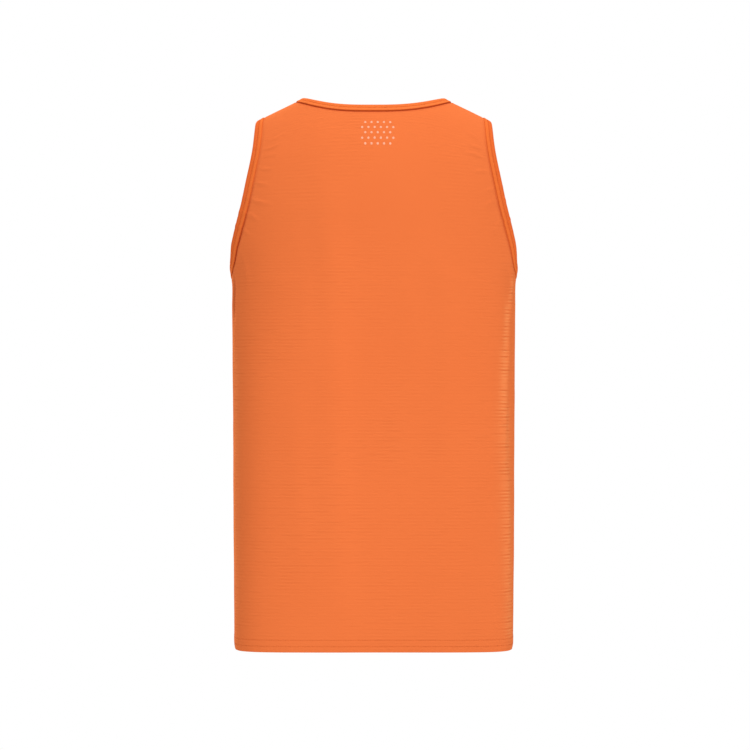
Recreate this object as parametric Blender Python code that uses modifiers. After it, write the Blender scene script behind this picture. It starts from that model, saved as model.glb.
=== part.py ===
"""A sleeveless running vest as it is worn, hollow and open at the neck, the armholes and the hem.

Two knitted panels meet in seams along the shoulders and down the sides. One binding goes round the
neck and one round each armhole. Metres, +Z up. The wearer faces -Y, so the back panel is on the +Y
side and the wearer's left is +X. The origin is on the centre line, half-way along the height of the
shoulder seams, where the wearer carries the vest. Heights are given as a drop: the distance below
the neck point, the inner end of the shoulder line.
"""

from collections import namedtuple

import bpy
import numpy as np
from mathutils import Vector
from mathutils.geometry import delaunay_2d_cdt

# Driving sizes of the cut.
LENGTH = 0.700                  # neck point to hem
NECK_POINT_Z = 0.012            # height of the neck point above the origin
NECK_POINT_X = 0.0860           # half the width of the neck at its bound edge
NECK_SEAM_X = 0.0992            # half the width of the neck at its seam
SHOULDER_SEAM_X = 0.1394        # outer end of the shoulder seam
SHOULDER_SLOPE = 0.488          # fall of the shoulder line per metre outwards
SHOULDER_Y = 0.010              # the shoulder line lies just behind the side seams
NECK_CREST = 0.012              # rise of the form between the neck points
UNDERARM_DROP = 0.233           # foot of the armhole seam, and top of the side seam

# Cloth.
WALL = 0.0012
BINDING_WALL = 0.0022
NECK_BINDING_WIDTH = 0.0105
ARMHOLE_BINDING_WIDTH = 0.0114
SEAM_GAP = 0.0003

# The general figure that the panels hang on, as level sections: at each drop, half the width at the
# sides, the depth to the back and to the front, and how square the section is (2 is an ellipse).
Section = namedtuple("Section", "drop half_width back front squareness")
SECTIONS = (
    Section(drop=0.000, half_width=0.2003, back=0.096, front=0.086, squareness=2.2),
    Section(drop=0.060, half_width=0.2050, back=0.099, front=0.090, squareness=2.2),
    Section(drop=0.110, half_width=0.2100, back=0.101, front=0.096, squareness=2.3),
    Section(drop=0.150, half_width=0.2092, back=0.103, front=0.100, squareness=2.5),
    Section(drop=0.190, half_width=0.1948, back=0.104, front=0.104, squareness=3.0),
    Section(drop=0.215, half_width=0.1838, back=0.104, front=0.106, squareness=3.4),
    Section(drop=0.233, half_width=0.1808, back=0.104, front=0.107, squareness=3.6),
    Section(drop=0.270, half_width=0.1799, back=0.103, front=0.107, squareness=3.9),
    Section(drop=0.400, half_width=0.1786, back=0.101, front=0.104, squareness=4.3),
    Section(drop=0.560, half_width=0.1769, back=0.100, front=0.101, squareness=5.0),
    Section(drop=0.700, half_width=0.1758, back=0.100, front=0.100, squareness=6.0),
)

# Each panel. full_drop is where the cloth reaches its full depth below the shoulder, and crown the
# length of cloth down to there. The neck falls by neck_depth below its shoulder end. hollow is how
# much further in the armhole is cut half-way down, as a share of the section's depth.
Panel = namedtuple("Panel", "name side full_drop crown neck_depth neck_square neck_round hollow")
PANELS = (
    Panel(name="back", side=1, full_drop=0.160, crown=0.204, neck_depth=0.0160,
          neck_square=2.7, neck_round=1.0, hollow=0.0),
    Panel(name="front", side=-1, full_drop=0.200, crown=0.252, neck_depth=0.1014,
          neck_square=2.2, neck_round=0.62, hollow=0.03),
)
ARMHOLE_TURN = 0.120            # drop at which the armhole seam starts to turn in under the arm
ARMHOLE_ROUND = 3.0             # roundness of that turn

# The largest folds: soft upright waves. side_from and side_to are the share of the way from the
# centre line to the side seam, at the fold's top and at the hem; positive is the wearer's left.
Fold = namedtuple("Fold", "panel side_from side_to half_width height top foot")
FOLDS = (
    Fold("back", 0.34, 0.24, 0.136, 0.0022, 0.10, 0.80),
    Fold("back", 0.50, 0.46, 0.100, 0.0018, 0.24, 0.90),
    Fold("back", -0.36, -0.24, 0.144, 0.0018, 0.09, 0.62),
    Fold("back", -0.52, -0.49, 0.096, 0.0018, 0.30, 0.90),
    Fold("front", 0.28, 0.20, 0.144, 0.0022, 0.16, 0.85),
    Fold("front", -0.34, -0.30, 0.128, 0.0020, 0.20, 0.75),
    Fold("front", 0.52, 0.48, 0.096, 0.0018, 0.28, 0.90),
    Fold("front", -0.53, -0.48, 0.104, 0.0016, 0.26, 0.90),
)
FOLD_FADE_IN = 0.12             # drop over which a fold grows from its top
FOLD_FADE_OUT = 0.25            # and over which it dies away above its foot
FOLD_FREE_RIM = 0.12            # share of the panel beside its edge where folds lie down

# How finely the cloth is faceted.
NECK_LANES = 10                 # edges along half the neck seam
SHOULDER_LANES = 4              # along a shoulder seam
ARMHOLE_LANES = 18              # along one panel's side of an armhole
HEM_LANES = 22                  # along half a panel's hem
SIDE_ROWS = 8                   # along a side seam
BINDING_ROWS = 3
ROW_PITCH = 0.87                # spacing of the staggered rows of points, as a share of the lanes'
CLEAR_SHARE = 0.5               # how clear of the edges those points stay, likewise
BEND_LENGTH = 0.040             # extra length counted for each radian of bend
YOKE_FOOT = 0.330               # drop below which the cloth hangs straight
YOKE_SQUEEZE = 0.60             # facets are this much wider than tall above there
BODY_SQUEEZE = 0.22             # and this much below
EDGE_STRIP = 0.002              # width of the narrow row that follows the sewn edge
FINE_STEPS = 200                # steps for measuring along a line
SLOPE_STEP = 1e-5               # step for measuring the form's slopes
PLAN_MERGE = 1e-7               # points of the flat plan closer than this are one
HALVINGS = 40                   # rounds of halving when a seam is looked for on the form
SHOULDER_REACH = 0.25           # share of the crown within which the shoulder seam lies
BINDING_SMOOTHING = 2           # rounds of evening out the way a binding faces


def column(name, drop):
    """One column of SECTIONS at any drop, on a smooth curve through the rows."""
    drops = np.array([row.drop for row in SECTIONS])
    values = np.array([getattr(row, name) for row in SECTIONS])
    slopes = np.gradient(values, drops)
    low = np.clip(np.searchsorted(drops, drop) - 1, 0, len(drops) - 2)
    span = drops[low + 1] - drops[low]
    t = (drop - drops[low]) / span
    ease = t * t * (3 - 2 * t)
    start = span * slopes[low] * t * (1 - t) ** 2
    end = span * slopes[low + 1] * t * t * (t - 1)
    return values[low] * (1 - ease) + values[low + 1] * ease + start + end


def shoulder_drop(x):
    """Drop of the shoulder line at x: straight over the shoulder, crowned across the neck."""
    beyond = SHOULDER_SLOPE * (np.abs(x) - NECK_POINT_X)
    power = SHOULDER_SLOPE * NECK_POINT_X / NECK_CREST
    crown = NECK_CREST * (np.minimum(np.abs(x) / NECK_POINT_X, 1) ** power - 1)
    return np.where(np.abs(x) > NECK_POINT_X, beyond, crown)


def level(panel, down):
    """The section's drop and how far it leans in, at a length of cloth down from the shoulder."""
    tilt = np.pi / 2 * (1 - np.minimum(down / panel.crown, 1))
    drop = panel.full_drop * (1 - np.sin(tilt)) + np.maximum(down - panel.crown, 0)
    return drop, tilt


def form_point(panel, angle, down):
    """Point of the figure: angle is 0 at the centre line and a quarter turn at the side seam."""
    drop, tilt = level(panel, down)
    square = column("squareness", drop)
    across = np.sin(angle)
    away = np.cos(angle)
    radius = (np.abs(across) ** square + np.abs(away) ** square) ** (-1 / square)
    x = column("half_width", drop) * radius * across
    depth = panel.side * column(panel.name, drop) * radius * away
    y = SHOULDER_Y + (depth - SHOULDER_Y) * np.cos(tilt)
    y = np.where(tilt > 0, y, depth)
    z = NECK_POINT_Z - drop - shoulder_drop(x) * np.sin(tilt) ** 2
    return np.stack([x, y, z], axis=-1)


def other_share(share, square):
    """On a section, the share of the half width that goes with a share of the depth, or back."""
    return np.maximum(1 - share ** square, 0) ** (1 / square)


def edge_angle(panel, down):
    """Angle where the panel ends: at the armhole seam, and below it at the side seam."""
    drop, _ = level(panel, down)
    share = other_share(SHOULDER_SEAM_X / column("half_width", 0.0), column("squareness", 0.0))
    share = share + panel.hollow * np.sin(np.pi * drop / UNDERARM_DROP) ** 2
    turn = np.clip((drop - ARMHOLE_TURN) / (UNDERARM_DROP - ARMHOLE_TURN), 0, 1)
    share = share * other_share(turn, ARMHOLE_ROUND)
    share = np.maximum(share, SEAM_GAP / 2 / column(panel.name, drop))
    return np.arctan2(other_share(share, column("squareness", drop)), share)


def form_slopes(panel, angle, down):
    """How a point of the form moves per radian round it and per metre down it, and its normal."""
    step = SLOPE_STEP
    down = np.maximum(down, 2 * step)
    across = form_point(panel, angle + step, down) - form_point(panel, angle - step, down)
    along = form_point(panel, angle, down + step) - form_point(panel, angle, down - step)
    normal = np.cross(across, along) * panel.side
    return across / (2 * step), along / (2 * step), normal / np.linalg.norm(normal, axis=-1)[..., None]


def solve(low, high, is_past):
    """Halve between low and high until is_past changes, for a whole array at once."""
    for _ in range(HALVINGS):
        middle = (low + high) / 2
        past = is_past(middle)
        high = np.where(past, middle, high)
        low = np.where(past, low, middle)
    return (low + high) / 2


def angle_at(x, drop):
    """The angle on the form at x from the centre line."""
    across = x / column("half_width", drop)
    return np.arctan2(across, other_share(across, column("squareness", drop)))


def evenly(panel, angle, down, count):
    """A line on the form, as angles and lengths down, cut into count even stretches."""
    points = form_point(panel, angle, down)
    reached = np.concatenate([[0], np.cumsum(np.linalg.norm(np.diff(points, axis=0), axis=-1))])
    wanted = np.linspace(0, reached[-1], count + 1)
    return np.stack([np.interp(wanted, reached, angle), np.interp(wanted, reached, down)], axis=-1)


def shoulder_edge(panel, x):
    """The shoulder seam at x: angle and length down. It stays half the seam gap off the line."""
    def is_past(down):
        point = form_point(panel, angle_at(x, level(panel, down)[0]), down)
        return np.abs(point[..., 1] - SHOULDER_Y) > SEAM_GAP / 2
    down = solve(np.zeros_like(x), np.full_like(x, panel.crown * SHOULDER_REACH), is_past)
    return angle_at(x, level(panel, down)[0]), down


def neck_edge(panel):
    """The neck seam from the centre line to the shoulder seam: angle and length down."""
    x = NECK_SEAM_X * np.sin(np.linspace(0, np.pi / 2, FINE_STEPS)[:-1])
    fall = (1 - (x / NECK_SEAM_X) ** panel.neck_square) ** panel.neck_round
    seam_drop = shoulder_drop(NECK_SEAM_X) + panel.neck_depth * fall

    def is_past(down):
        drop, tilt = level(panel, down)
        return drop + shoulder_drop(x) * np.sin(tilt) ** 2 > seam_drop
    down = solve(np.zeros_like(x), np.full_like(x, panel.crown), is_past)
    end_angle, end_down = shoulder_edge(panel, np.full(1, NECK_SEAM_X))
    angle = np.append(angle_at(x, level(panel, down)[0]), end_angle)
    return angle, np.append(down, end_down)


def top_edge(panel):
    """Half of a panel's top edge: neck, shoulder and armhole seams, out from the centre line."""
    neck = evenly(panel, *neck_edge(panel), NECK_LANES)
    line = shoulder_edge(panel, np.linspace(NECK_SEAM_X, SHOULDER_SEAM_X, FINE_STEPS))
    shoulder = evenly(panel, *line, SHOULDER_LANES)
    underarm = panel.crown + UNDERARM_DROP - panel.full_drop
    sweep = np.sin(np.linspace(0, np.pi / 2, FINE_STEPS))
    down = shoulder[-1, 1] + (underarm - shoulder[-1, 1]) * sweep
    armhole = evenly(panel, edge_angle(panel, down), down, ARMHOLE_LANES)
    return np.concatenate([neck, shoulder[1:], armhole[1:]])


def inset(panel, edge):
    """The line one narrow strip in from a top edge, square to it, so the rim stays square too."""
    angle, down = edge.T
    across, along, normal = form_slopes(panel, angle, down)
    inward = np.cross(normal, np.gradient(form_point(panel, angle, down), axis=0)) * panel.side
    inward *= EDGE_STRIP / np.linalg.norm(inward, axis=-1, keepdims=True)
    slopes = np.stack([across, along], axis=-1)
    moved = edge + np.einsum("nij,nj->ni", np.linalg.pinv(slopes), inward)
    moved[0, 0] = 0
    moved[-1, 0] = edge_angle(panel, moved[-1, 1])
    return moved


def plan_scales(panel):
    """Angles against distances across a flat plan of the panel, and lengths down against depths.

    Across, the plan counts length round the form and adds some for its bend, so that a tight bend
    gets more facets. Depths are squeezed, most of all below the yoke, where the cloth hangs straight.
    """
    foot = panel.crown + YOKE_FOOT - panel.full_drop
    hem = panel.crown + LENGTH - panel.full_drop
    angles = np.linspace(-np.pi / 2, np.pi / 2, 2 * FINE_STEPS + 1)
    steps = np.diff(form_point(panel, angles, np.full_like(angles, foot)), axis=0)
    bend = np.abs(np.gradient(np.unwrap(np.arctan2(steps[:, 1], steps[:, 0]))))
    across = np.cumsum(np.linalg.norm(steps, axis=-1) + BEND_LENGTH * bend)
    across = np.concatenate([[0], across]) - across[-1] / 2
    downs = np.array([0, foot, hem])
    depths = np.array([0, foot * YOKE_SQUEEZE, foot * YOKE_SQUEEZE + (hem - foot) * BODY_SQUEEZE])
    return angles, across, downs, depths


def lattice(outline, pitch):
    """Staggered points on the plan, inside an outline and clear of it."""
    low = outline.min(axis=0)
    high = outline.max(axis=0)
    points = []
    for row, depth in enumerate(np.arange(high[1], low[1], -pitch * ROW_PITCH)):
        across = np.arange(0, high[0], pitch) + pitch / 2 * (row % 2)
        points += [(x, depth) for x in across]
        points += [(-x, depth) for x in across if x > 0]
    points = np.array(points)
    along = np.roll(outline, -1, axis=0) - outline
    offset = points[:, None] - outline
    share = np.clip(np.sum(offset * along, axis=-1) / np.sum(along * along, axis=-1), 0, 1)
    clear = np.linalg.norm(offset - share[..., None] * along, axis=-1).min(axis=1)
    level_with = (offset[..., 1] < 0) != (offset[..., 1] < along[:, 1])
    slant = along[:, 0] / np.where(along[:, 1] == 0, 1, along[:, 1])
    crossed = level_with & (offset[..., 0] < slant * offset[..., 1])
    return points[(clear > pitch * CLEAR_SHARE) & (crossed.sum(axis=1) % 2 == 1)]


def panel_mesh(panel):
    """Angles and lengths down of a panel's points, and its faces. The top edge comes first."""
    angles, across, downs, depths = plan_scales(panel)
    top = top_edge(panel)
    strip = inset(panel, top)
    top = np.concatenate([top[:0:-1] * (-1, 1), top])
    strip = np.concatenate([strip[:0:-1] * (-1, 1), strip])

    side_depth = np.linspace(np.interp(strip[-1, 1], downs, depths), depths[-1], SIDE_ROWS + 1)[1:]
    side_down = np.interp(side_depth, depths, downs)
    side = np.stack([edge_angle(panel, side_down), side_down], axis=-1)
    hem = np.linspace(1, -1, 2 * HEM_LANES + 1)[1:-1] * np.interp(side[-1, 0], angles, across)
    hem = np.stack([np.interp(hem, across, angles), np.full(len(hem), downs[-1])], axis=-1)
    rim = np.concatenate([strip, side, hem, side[::-1] * (-1, 1)])

    outline = np.stack([np.interp(rim[:, 0], angles, across),
                        np.interp(rim[:, 1], downs, depths)], axis=-1)
    inner = lattice(outline, across[-1] / HEM_LANES)
    corners = [Vector(point) for point in np.concatenate([outline, inner])]
    around = list(range(len(outline)))
    filled = delaunay_2d_cdt(corners, [], [around], 1, PLAN_MERGE, True)
    _, _, facets, sources, _, owners = filled
    count = len(top)
    faces = [tuple(sources[i][0] + count for i in facet)
             for facet, owner in zip(facets, owners) if owner]
    faces += [(i, i + 1, count + i + 1, count + i) for i in range(count - 1)]
    inner = np.stack([np.interp(inner[:, 0], across, angles),
                      np.interp(inner[:, 1], depths, downs)], axis=-1)
    angle, down = np.concatenate([top, rim, inner]).T
    return angle, down, faces, count


def fold_height(panel, angle, down):
    """How far the folds lift the cloth off the figure, at each point of a panel."""
    drop, _ = level(panel, down)
    side = angle / edge_angle(panel, down)
    lift = np.zeros_like(drop)
    for fold in FOLDS:
        if fold.panel != panel.name:
            continue
        fall = np.clip((drop - fold.top) / (LENGTH - fold.top), 0, 1)
        middle = fold.side_from + (fold.side_to - fold.side_from) * fall
        away = (side - middle) / fold.half_width
        fade_in = np.clip((drop - fold.top) / FOLD_FADE_IN, 0, 1)
        fade_out = np.clip((fold.foot - drop) / FOLD_FADE_OUT, 0, 1)
        lift += fold.height * np.exp(-away ** 2) * fade_in ** 2 * fade_out
    edge = np.clip((1 - np.abs(side)) / FOLD_FREE_RIM, 0, 1)
    return lift * edge * edge * (3 - 2 * edge)


def panel_cloth(panel):
    """A panel's middle surface, folds and all: its points, its faces and its top edge.

    The top edge is given as points and normals away from the wearer.
    """
    angle, down, faces, count = panel_mesh(panel)
    _, _, normals = form_slopes(panel, angle, down)
    lift = fold_height(panel, angle, down)
    points = form_point(panel, angle, down) + normals * lift[..., None]
    return points, faces, (points[:count], normals[:count])


def sheet_object(name, points, faces, wall, material, collection):
    """A wall of cloth on a middle surface."""
    mesh = bpy.data.meshes.new(name)
    mesh.from_pydata([tuple(point) for point in points], [], faces)
    mesh.materials.append(material)
    mesh.shade_smooth()
    piece = bpy.data.objects.new(name, mesh)
    collection.objects.link(piece)
    solidify = piece.modifiers.new("wall", "SOLIDIFY")
    solidify.thickness = wall
    solidify.offset = 0
    solidify.use_quality_normals = True
    return piece


def cloth_material(name, colour, roughness):
    """Plain dyed cloth."""
    material = bpy.data.materials.new(name)
    material.use_nodes = True
    shader = material.node_tree.nodes["Principled BSDF"]
    shader.inputs["Base Color"].default_value = (*colour, 1)
    shader.inputs["Roughness"].default_value = roughness
    shader.inputs["Metallic"].default_value = 0
    return material


def seam_loops(back, front):
    """The neck seam and the left and right armhole seams, all the way round: points and normals."""
    loops = []
    outer = ARMHOLE_LANES + SHOULDER_LANES
    for part in (slice(outer, -outer), slice(-ARMHOLE_LANES - 1, None), slice(0, ARMHOLE_LANES + 1)):
        loops.append(join_edges([edge[part] for edge in back], [edge[part][::-1] for edge in front]))
    return loops


def join_edges(first, second):
    """Close two edges into one ring, with one shared point at each end."""
    rings = []
    for a, b in zip(first, second):
        start = (a[0] + b[-1]) / 2
        end = (a[-1] + b[0]) / 2
        rings.append(np.concatenate([start[None], a[1:-1], end[None], b[1:-1]]))
    points, normals = rings
    return points, normals / np.linalg.norm(normals, axis=-1, keepdims=True)


def binding_cloth(loop, width):
    """A binding's middle surface, from its seam gap to its free edge, lying in the cloth's own surface.

    It comes back as points and faces.
    """
    points, normals = loop
    along = np.roll(points, -1, axis=0) - np.roll(points, 1, axis=0)
    inward = np.cross(normals, along)
    inward *= np.sign(np.sum(inward * (points.mean(axis=0) - points)))
    inward /= np.linalg.norm(inward, axis=-1, keepdims=True)
    for _ in range(BINDING_SMOOTHING):
        inward = inward / 2 + (np.roll(inward, 1, axis=0) + np.roll(inward, -1, axis=0)) / 4
        inward /= np.linalg.norm(inward, axis=-1, keepdims=True)
    rows = [points + inward * reach for reach in np.linspace(SEAM_GAP, width, BINDING_ROWS)]
    count = len(points)
    faces = []
    for start in range(0, (BINDING_ROWS - 1) * count, count):
        for i in range(count):
            after = (i + 1) % count
            faces.append((start + i, start + after, start + count + after, start + count + i))
    return np.concatenate(rows), faces


def build():
    for old in list(bpy.data.objects):
        bpy.data.objects.remove(old, do_unlink=True)
    collection = bpy.data.collections.new("running_vest")
    bpy.context.scene.collection.children.link(collection)

    knit = cloth_material("orange_knit", (0.83, 0.20, 0.055), 0.62)
    tape = cloth_material("orange_binding", (0.78, 0.15, 0.045), 0.60)

    edges = []
    for panel in PANELS:
        points, faces, edge = panel_cloth(panel)
        sheet_object(panel.name, points, faces, WALL, knit, collection)
        edges.append(edge)

    names = ("neck_binding", "armhole_binding_left", "armhole_binding_right")
    widths = (NECK_BINDING_WIDTH, ARMHOLE_BINDING_WIDTH, ARMHOLE_BINDING_WIDTH)
    for name, width, loop in zip(names, widths, seam_loops(*edges)):
        sheet_object(name, *binding_cloth(loop, width), BINDING_WALL, tape, collection)


build()
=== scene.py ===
"""A sleeveless running vest in fine orange knit, hollow and open, in the form it has when it is worn.

The wearer faces -Y, so the back panel is on the +Y side and the wearer's left is +X. Metres, +Z up.
"""

from collections import namedtuple

import bmesh
import bpy
import numpy as np
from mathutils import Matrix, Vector
from mathutils.geometry import delaunay_2d_cdt


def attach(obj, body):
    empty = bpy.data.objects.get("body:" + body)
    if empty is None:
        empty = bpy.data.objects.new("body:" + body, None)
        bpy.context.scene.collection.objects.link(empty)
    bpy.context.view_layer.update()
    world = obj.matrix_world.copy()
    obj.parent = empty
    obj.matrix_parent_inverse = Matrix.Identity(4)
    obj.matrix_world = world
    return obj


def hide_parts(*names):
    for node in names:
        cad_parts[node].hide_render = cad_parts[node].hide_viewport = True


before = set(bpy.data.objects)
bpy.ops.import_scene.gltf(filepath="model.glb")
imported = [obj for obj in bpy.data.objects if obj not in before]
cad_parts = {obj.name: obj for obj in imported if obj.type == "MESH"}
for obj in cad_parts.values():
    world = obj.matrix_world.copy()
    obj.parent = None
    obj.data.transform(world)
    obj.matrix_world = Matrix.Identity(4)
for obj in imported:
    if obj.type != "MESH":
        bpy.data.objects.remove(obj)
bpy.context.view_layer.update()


# ---------------------------------------------------------------------------------------------
# Back and front panels.
# Two pieces of fine polyester knit with a faint cross rib, cut to a straight body with deep
# armholes. They hang from the shoulder seams in soft upright folds. The hem is the panels' own
# lower edge, turned up inside.

LENGTH = 0.700                  # neck point to hem
NECK_POINT_Z = 0.012            # height of the neck point above the origin
NECK_POINT_X = 0.0860
NECK_SEAM_X = 0.0992            # where the neck binding's seam meets the shoulder seam
SHOULDER_SEAM_X = 0.1394        # and where the armhole binding's seam meets it
SHOULDER_SLOPE = 0.488          # fall of the shoulder line per metre outwards
SHOULDER_Y = 0.010              # the shoulder seams lie this far behind the middle
NECK_CREST = 0.012              # how far the shoulder line rises across the neck
UNDERARM_DROP = 0.233
ARMHOLE_TURN = 0.120            # drop at which the armhole starts to turn in under the arm
ARMHOLE_ROUND = 3.0             # how square that turn is
CLOTH = 0.0008                  # thickness of the knit
SEAM_SLIT = 0.0001              # what is left open between two panels at a seam

# Level sections of the hanging cloth: how far below the neck point, half the width, the depth to
# the back and to the front, and how square the section is.
Section = namedtuple("Section", "drop half_width back front squareness")
SECTIONS = (
    Section(0.000, 0.2003, 0.096, 0.086, 2.2),
    Section(0.060, 0.2050, 0.099, 0.090, 2.2),
    Section(0.110, 0.2100, 0.101, 0.096, 2.3),
    Section(0.150, 0.2092, 0.103, 0.100, 2.5),
    Section(0.190, 0.1948, 0.104, 0.104, 3.0),
    Section(0.215, 0.1838, 0.104, 0.106, 3.4),
    Section(0.233, 0.1808, 0.104, 0.107, 3.6),
    Section(0.270, 0.1799, 0.103, 0.107, 3.9),
    Section(0.400, 0.1786, 0.101, 0.104, 4.3),
    Section(0.560, 0.1769, 0.100, 0.101, 5.0),
    Section(0.700, 0.1758, 0.100, 0.100, 6.0),
)

# From the shoulder seams the cloth curves over for the length "crown" until it hangs upright, at
# the drop full_drop. hollow is how much further in the armhole is cut.
Panel = namedtuple("Panel", "name side full_drop crown neck_depth neck_square neck_round hollow")
BACK = Panel("back", 1, 0.160, 0.204, 0.0160, 2.7, 1.0, 0.0)
FRONT = Panel("front", -1, 0.200, 0.252, 0.1014, 2.2, 0.62, 0.03)


def part_way(value, low, high):
    """How far a value is from low to high, held between 0 and 1."""
    return np.clip((value - low) / (high - low), 0, 1)


def bell(value, middle, width):
    """A smooth hump of height 1."""
    return np.exp(-((value - middle) / width) ** 2)


def column(name, drop):
    """One column of SECTIONS at any drop, on a smooth curve through the rows."""
    drops = np.array([row.drop for row in SECTIONS])
    values = np.array([getattr(row, name) for row in SECTIONS])
    slopes = np.gradient(values, drops)
    low = np.clip(np.searchsorted(drops, drop) - 1, 0, len(drops) - 2)
    span = drops[low + 1] - drops[low]
    t = (drop - drops[low]) / span
    ease = t * t * (3 - 2 * t)
    start = span * slopes[low] * t * (1 - t) ** 2
    end = span * slopes[low + 1] * t * t * (t - 1)
    return values[low] * (1 - ease) + values[low + 1] * ease + start + end


def shoulder_drop(x):
    """Drop of the shoulder line at x: straight over the shoulder, crowned across the neck."""
    beyond = SHOULDER_SLOPE * (np.abs(x) - NECK_POINT_X)
    power = SHOULDER_SLOPE * NECK_POINT_X / NECK_CREST
    crown = NECK_CREST * (np.minimum(np.abs(x) / NECK_POINT_X, 1) ** power - 1)
    return np.where(np.abs(x) > NECK_POINT_X, beyond, crown)


def unit(vectors):
    """Vectors brought to a length of one."""
    return vectors / np.linalg.norm(vectors, axis=-1, keepdims=True)


def lengths_along(points):
    """How far along a line of points each of them is."""
    return np.concatenate([[0], np.cumsum(np.linalg.norm(np.diff(points, axis=0), axis=-1))])


def rescale(pairs, first_from, first_to, second_from, second_to):
    """Pairs of values moved from one pair of scales to another."""
    first = np.interp(pairs[:, 0], first_from, first_to)
    return np.stack([first, np.interp(pairs[:, 1], second_from, second_to)], axis=-1)


def down_to(panel, drop):
    """Length of cloth from the shoulder down to a drop on its upright part."""
    return panel.crown + drop - panel.full_drop


def level(panel, down):
    """The section's drop and how far it leans in, at a length of cloth down from the shoulder."""
    tilt = np.pi / 2 * (1 - np.minimum(down / panel.crown, 1))
    return panel.full_drop * (1 - np.sin(tilt)) + np.maximum(down - panel.crown, 0), tilt


def form_point(panel, angle, down):
    """Point of the hanging form: angle is 0 at the centre line and a quarter turn at the side."""
    drop, tilt = level(panel, down)
    square = column("squareness", drop)
    across = np.sin(angle)
    away = np.cos(angle)
    radius = (np.abs(across) ** square + np.abs(away) ** square) ** (-1 / square)
    x = column("half_width", drop) * radius * across
    depth = panel.side * column(panel.name, drop) * radius * away
    y = np.where(tilt > 0, SHOULDER_Y + (depth - SHOULDER_Y) * np.cos(tilt), depth)
    z = NECK_POINT_Z - drop - shoulder_drop(x) * np.sin(tilt) ** 2
    return np.stack([x, y, z], axis=-1)


def other_share(share, square):
    """On a section, the share of the half width that goes with a share of the depth, or back."""
    return np.maximum(1 - share ** square, 0) ** (1 / square)


def edge_angle(panel, down):
    """Angle where the panel ends: at the armhole seam, and below it at the side seam."""
    drop, _ = level(panel, down)
    share = other_share(SHOULDER_SEAM_X / column("half_width", 0.0), column("squareness", 0.0))
    share = share + panel.hollow * np.sin(np.pi * drop / UNDERARM_DROP) ** 2
    share = share * other_share(part_way(drop, ARMHOLE_TURN, UNDERARM_DROP), ARMHOLE_ROUND)
    share = np.maximum(share, SEAM_SLIT / column(panel.name, drop))
    return np.arctan2(other_share(share, column("squareness", drop)), share)


def form_slopes(panel, angle, down):
    """How a point of the form moves per radian round it and per metre down it, and its normal."""
    step = 1e-5
    down = np.maximum(down, 2 * step)
    across = form_point(panel, angle + step, down) - form_point(panel, angle - step, down)
    along = form_point(panel, angle, down + step) - form_point(panel, angle, down - step)
    return across / (2 * step), along / (2 * step), unit(np.cross(across, along) * panel.side)


def angle_at(x, drop):
    """The angle on the form at x from the centre line."""
    across = np.abs(x) / column("half_width", drop)
    return np.sign(x) * np.arctan2(across, other_share(across, column("squareness", drop)))


def evenly(panel, angle, down, count):
    """A line on the form, as angles and lengths down, cut into count even stretches."""
    reached = lengths_along(form_point(panel, angle, down))
    wanted = np.linspace(0, reached[-1], count + 1)
    return np.stack([np.interp(wanted, reached, angle), np.interp(wanted, reached, down)], axis=-1)


def halve(low, high, is_past):
    """Halve between low and high until is_past changes, for a whole array at once."""
    for _ in range(40):
        middle = (low + high) / 2
        past = is_past(middle)
        high = np.where(past, middle, high)
        low = np.where(past, low, middle)
    return (low + high) / 2


def shoulder_edge(panel, x):
    """The shoulder seam at x: angle and length down."""
    def is_past(down):
        point = form_point(panel, angle_at(x, level(panel, down)[0]), down)
        return np.abs(point[..., 1] - SHOULDER_Y) > SEAM_SLIT
    down = halve(np.zeros_like(x), np.full_like(x, panel.crown / 4), is_past)
    return angle_at(x, level(panel, down)[0]), down


def neck_edge(panel):
    """The neck seam from the centre line to the shoulder seam: angle and length down."""
    x = NECK_SEAM_X * np.sin(np.linspace(0, np.pi / 2, 400)[:-1])
    fall = (1 - (x / NECK_SEAM_X) ** panel.neck_square) ** panel.neck_round
    seam_drop = shoulder_drop(NECK_SEAM_X) + panel.neck_depth * fall

    def is_past(down):
        drop, tilt = level(panel, down)
        return drop + shoulder_drop(x) * np.sin(tilt) ** 2 > seam_drop
    down = halve(np.zeros_like(x), np.full_like(x, panel.crown), is_past)
    end_angle, end_down = shoulder_edge(panel, np.full(1, NECK_SEAM_X))
    angle = np.append(angle_at(x, level(panel, down)[0]), end_angle)
    return angle, np.append(down, end_down)


def armhole_edge(panel):
    """The armhole seam from the shoulder tip to the underarm: angle and length down."""
    _, start = shoulder_edge(panel, np.full(1, SHOULDER_SEAM_X))
    reach = down_to(panel, UNDERARM_DROP) - start
    down = start + reach * np.sin(np.linspace(0, np.pi / 2, 400))
    return edge_angle(panel, down), down


def shoulder_line(panel, count):
    """The shoulder seam cut into count even stretches."""
    x = np.linspace(NECK_SEAM_X, SHOULDER_SEAM_X, 60)
    return evenly(panel, *shoulder_edge(panel, x), count)


def both_sides(half):
    """A line that starts on the centre line, with the same line mirrored in front of it."""
    return np.concatenate([half[:0:-1] * (-1, 1), half])


# The largest folds, soft and upright. side_from and side_to are the share of the way from the
# centre line to the side seam, at the fold's top and at the hem; positive is the wearer's left.
Fold = namedtuple("Fold", "side_from side_to half_width height top foot")
FOLDS = {
    "back": (
        Fold(0.34, 0.24, 0.136, 0.0022, 0.10, 0.80),
        Fold(0.50, 0.46, 0.100, 0.0018, 0.24, 0.90),
        Fold(-0.36, -0.24, 0.144, 0.0018, 0.09, 0.62),
        Fold(-0.52, -0.49, 0.096, 0.0018, 0.30, 0.90),
    ),
    "front": (
        Fold(0.28, 0.20, 0.144, 0.0022, 0.16, 0.85),
        Fold(-0.34, -0.30, 0.128, 0.0020, 0.20, 0.75),
        Fold(0.52, 0.48, 0.096, 0.0018, 0.28, 0.90),
        Fold(-0.53, -0.48, 0.104, 0.0016, 0.26, 0.90),
    ),
}

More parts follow.
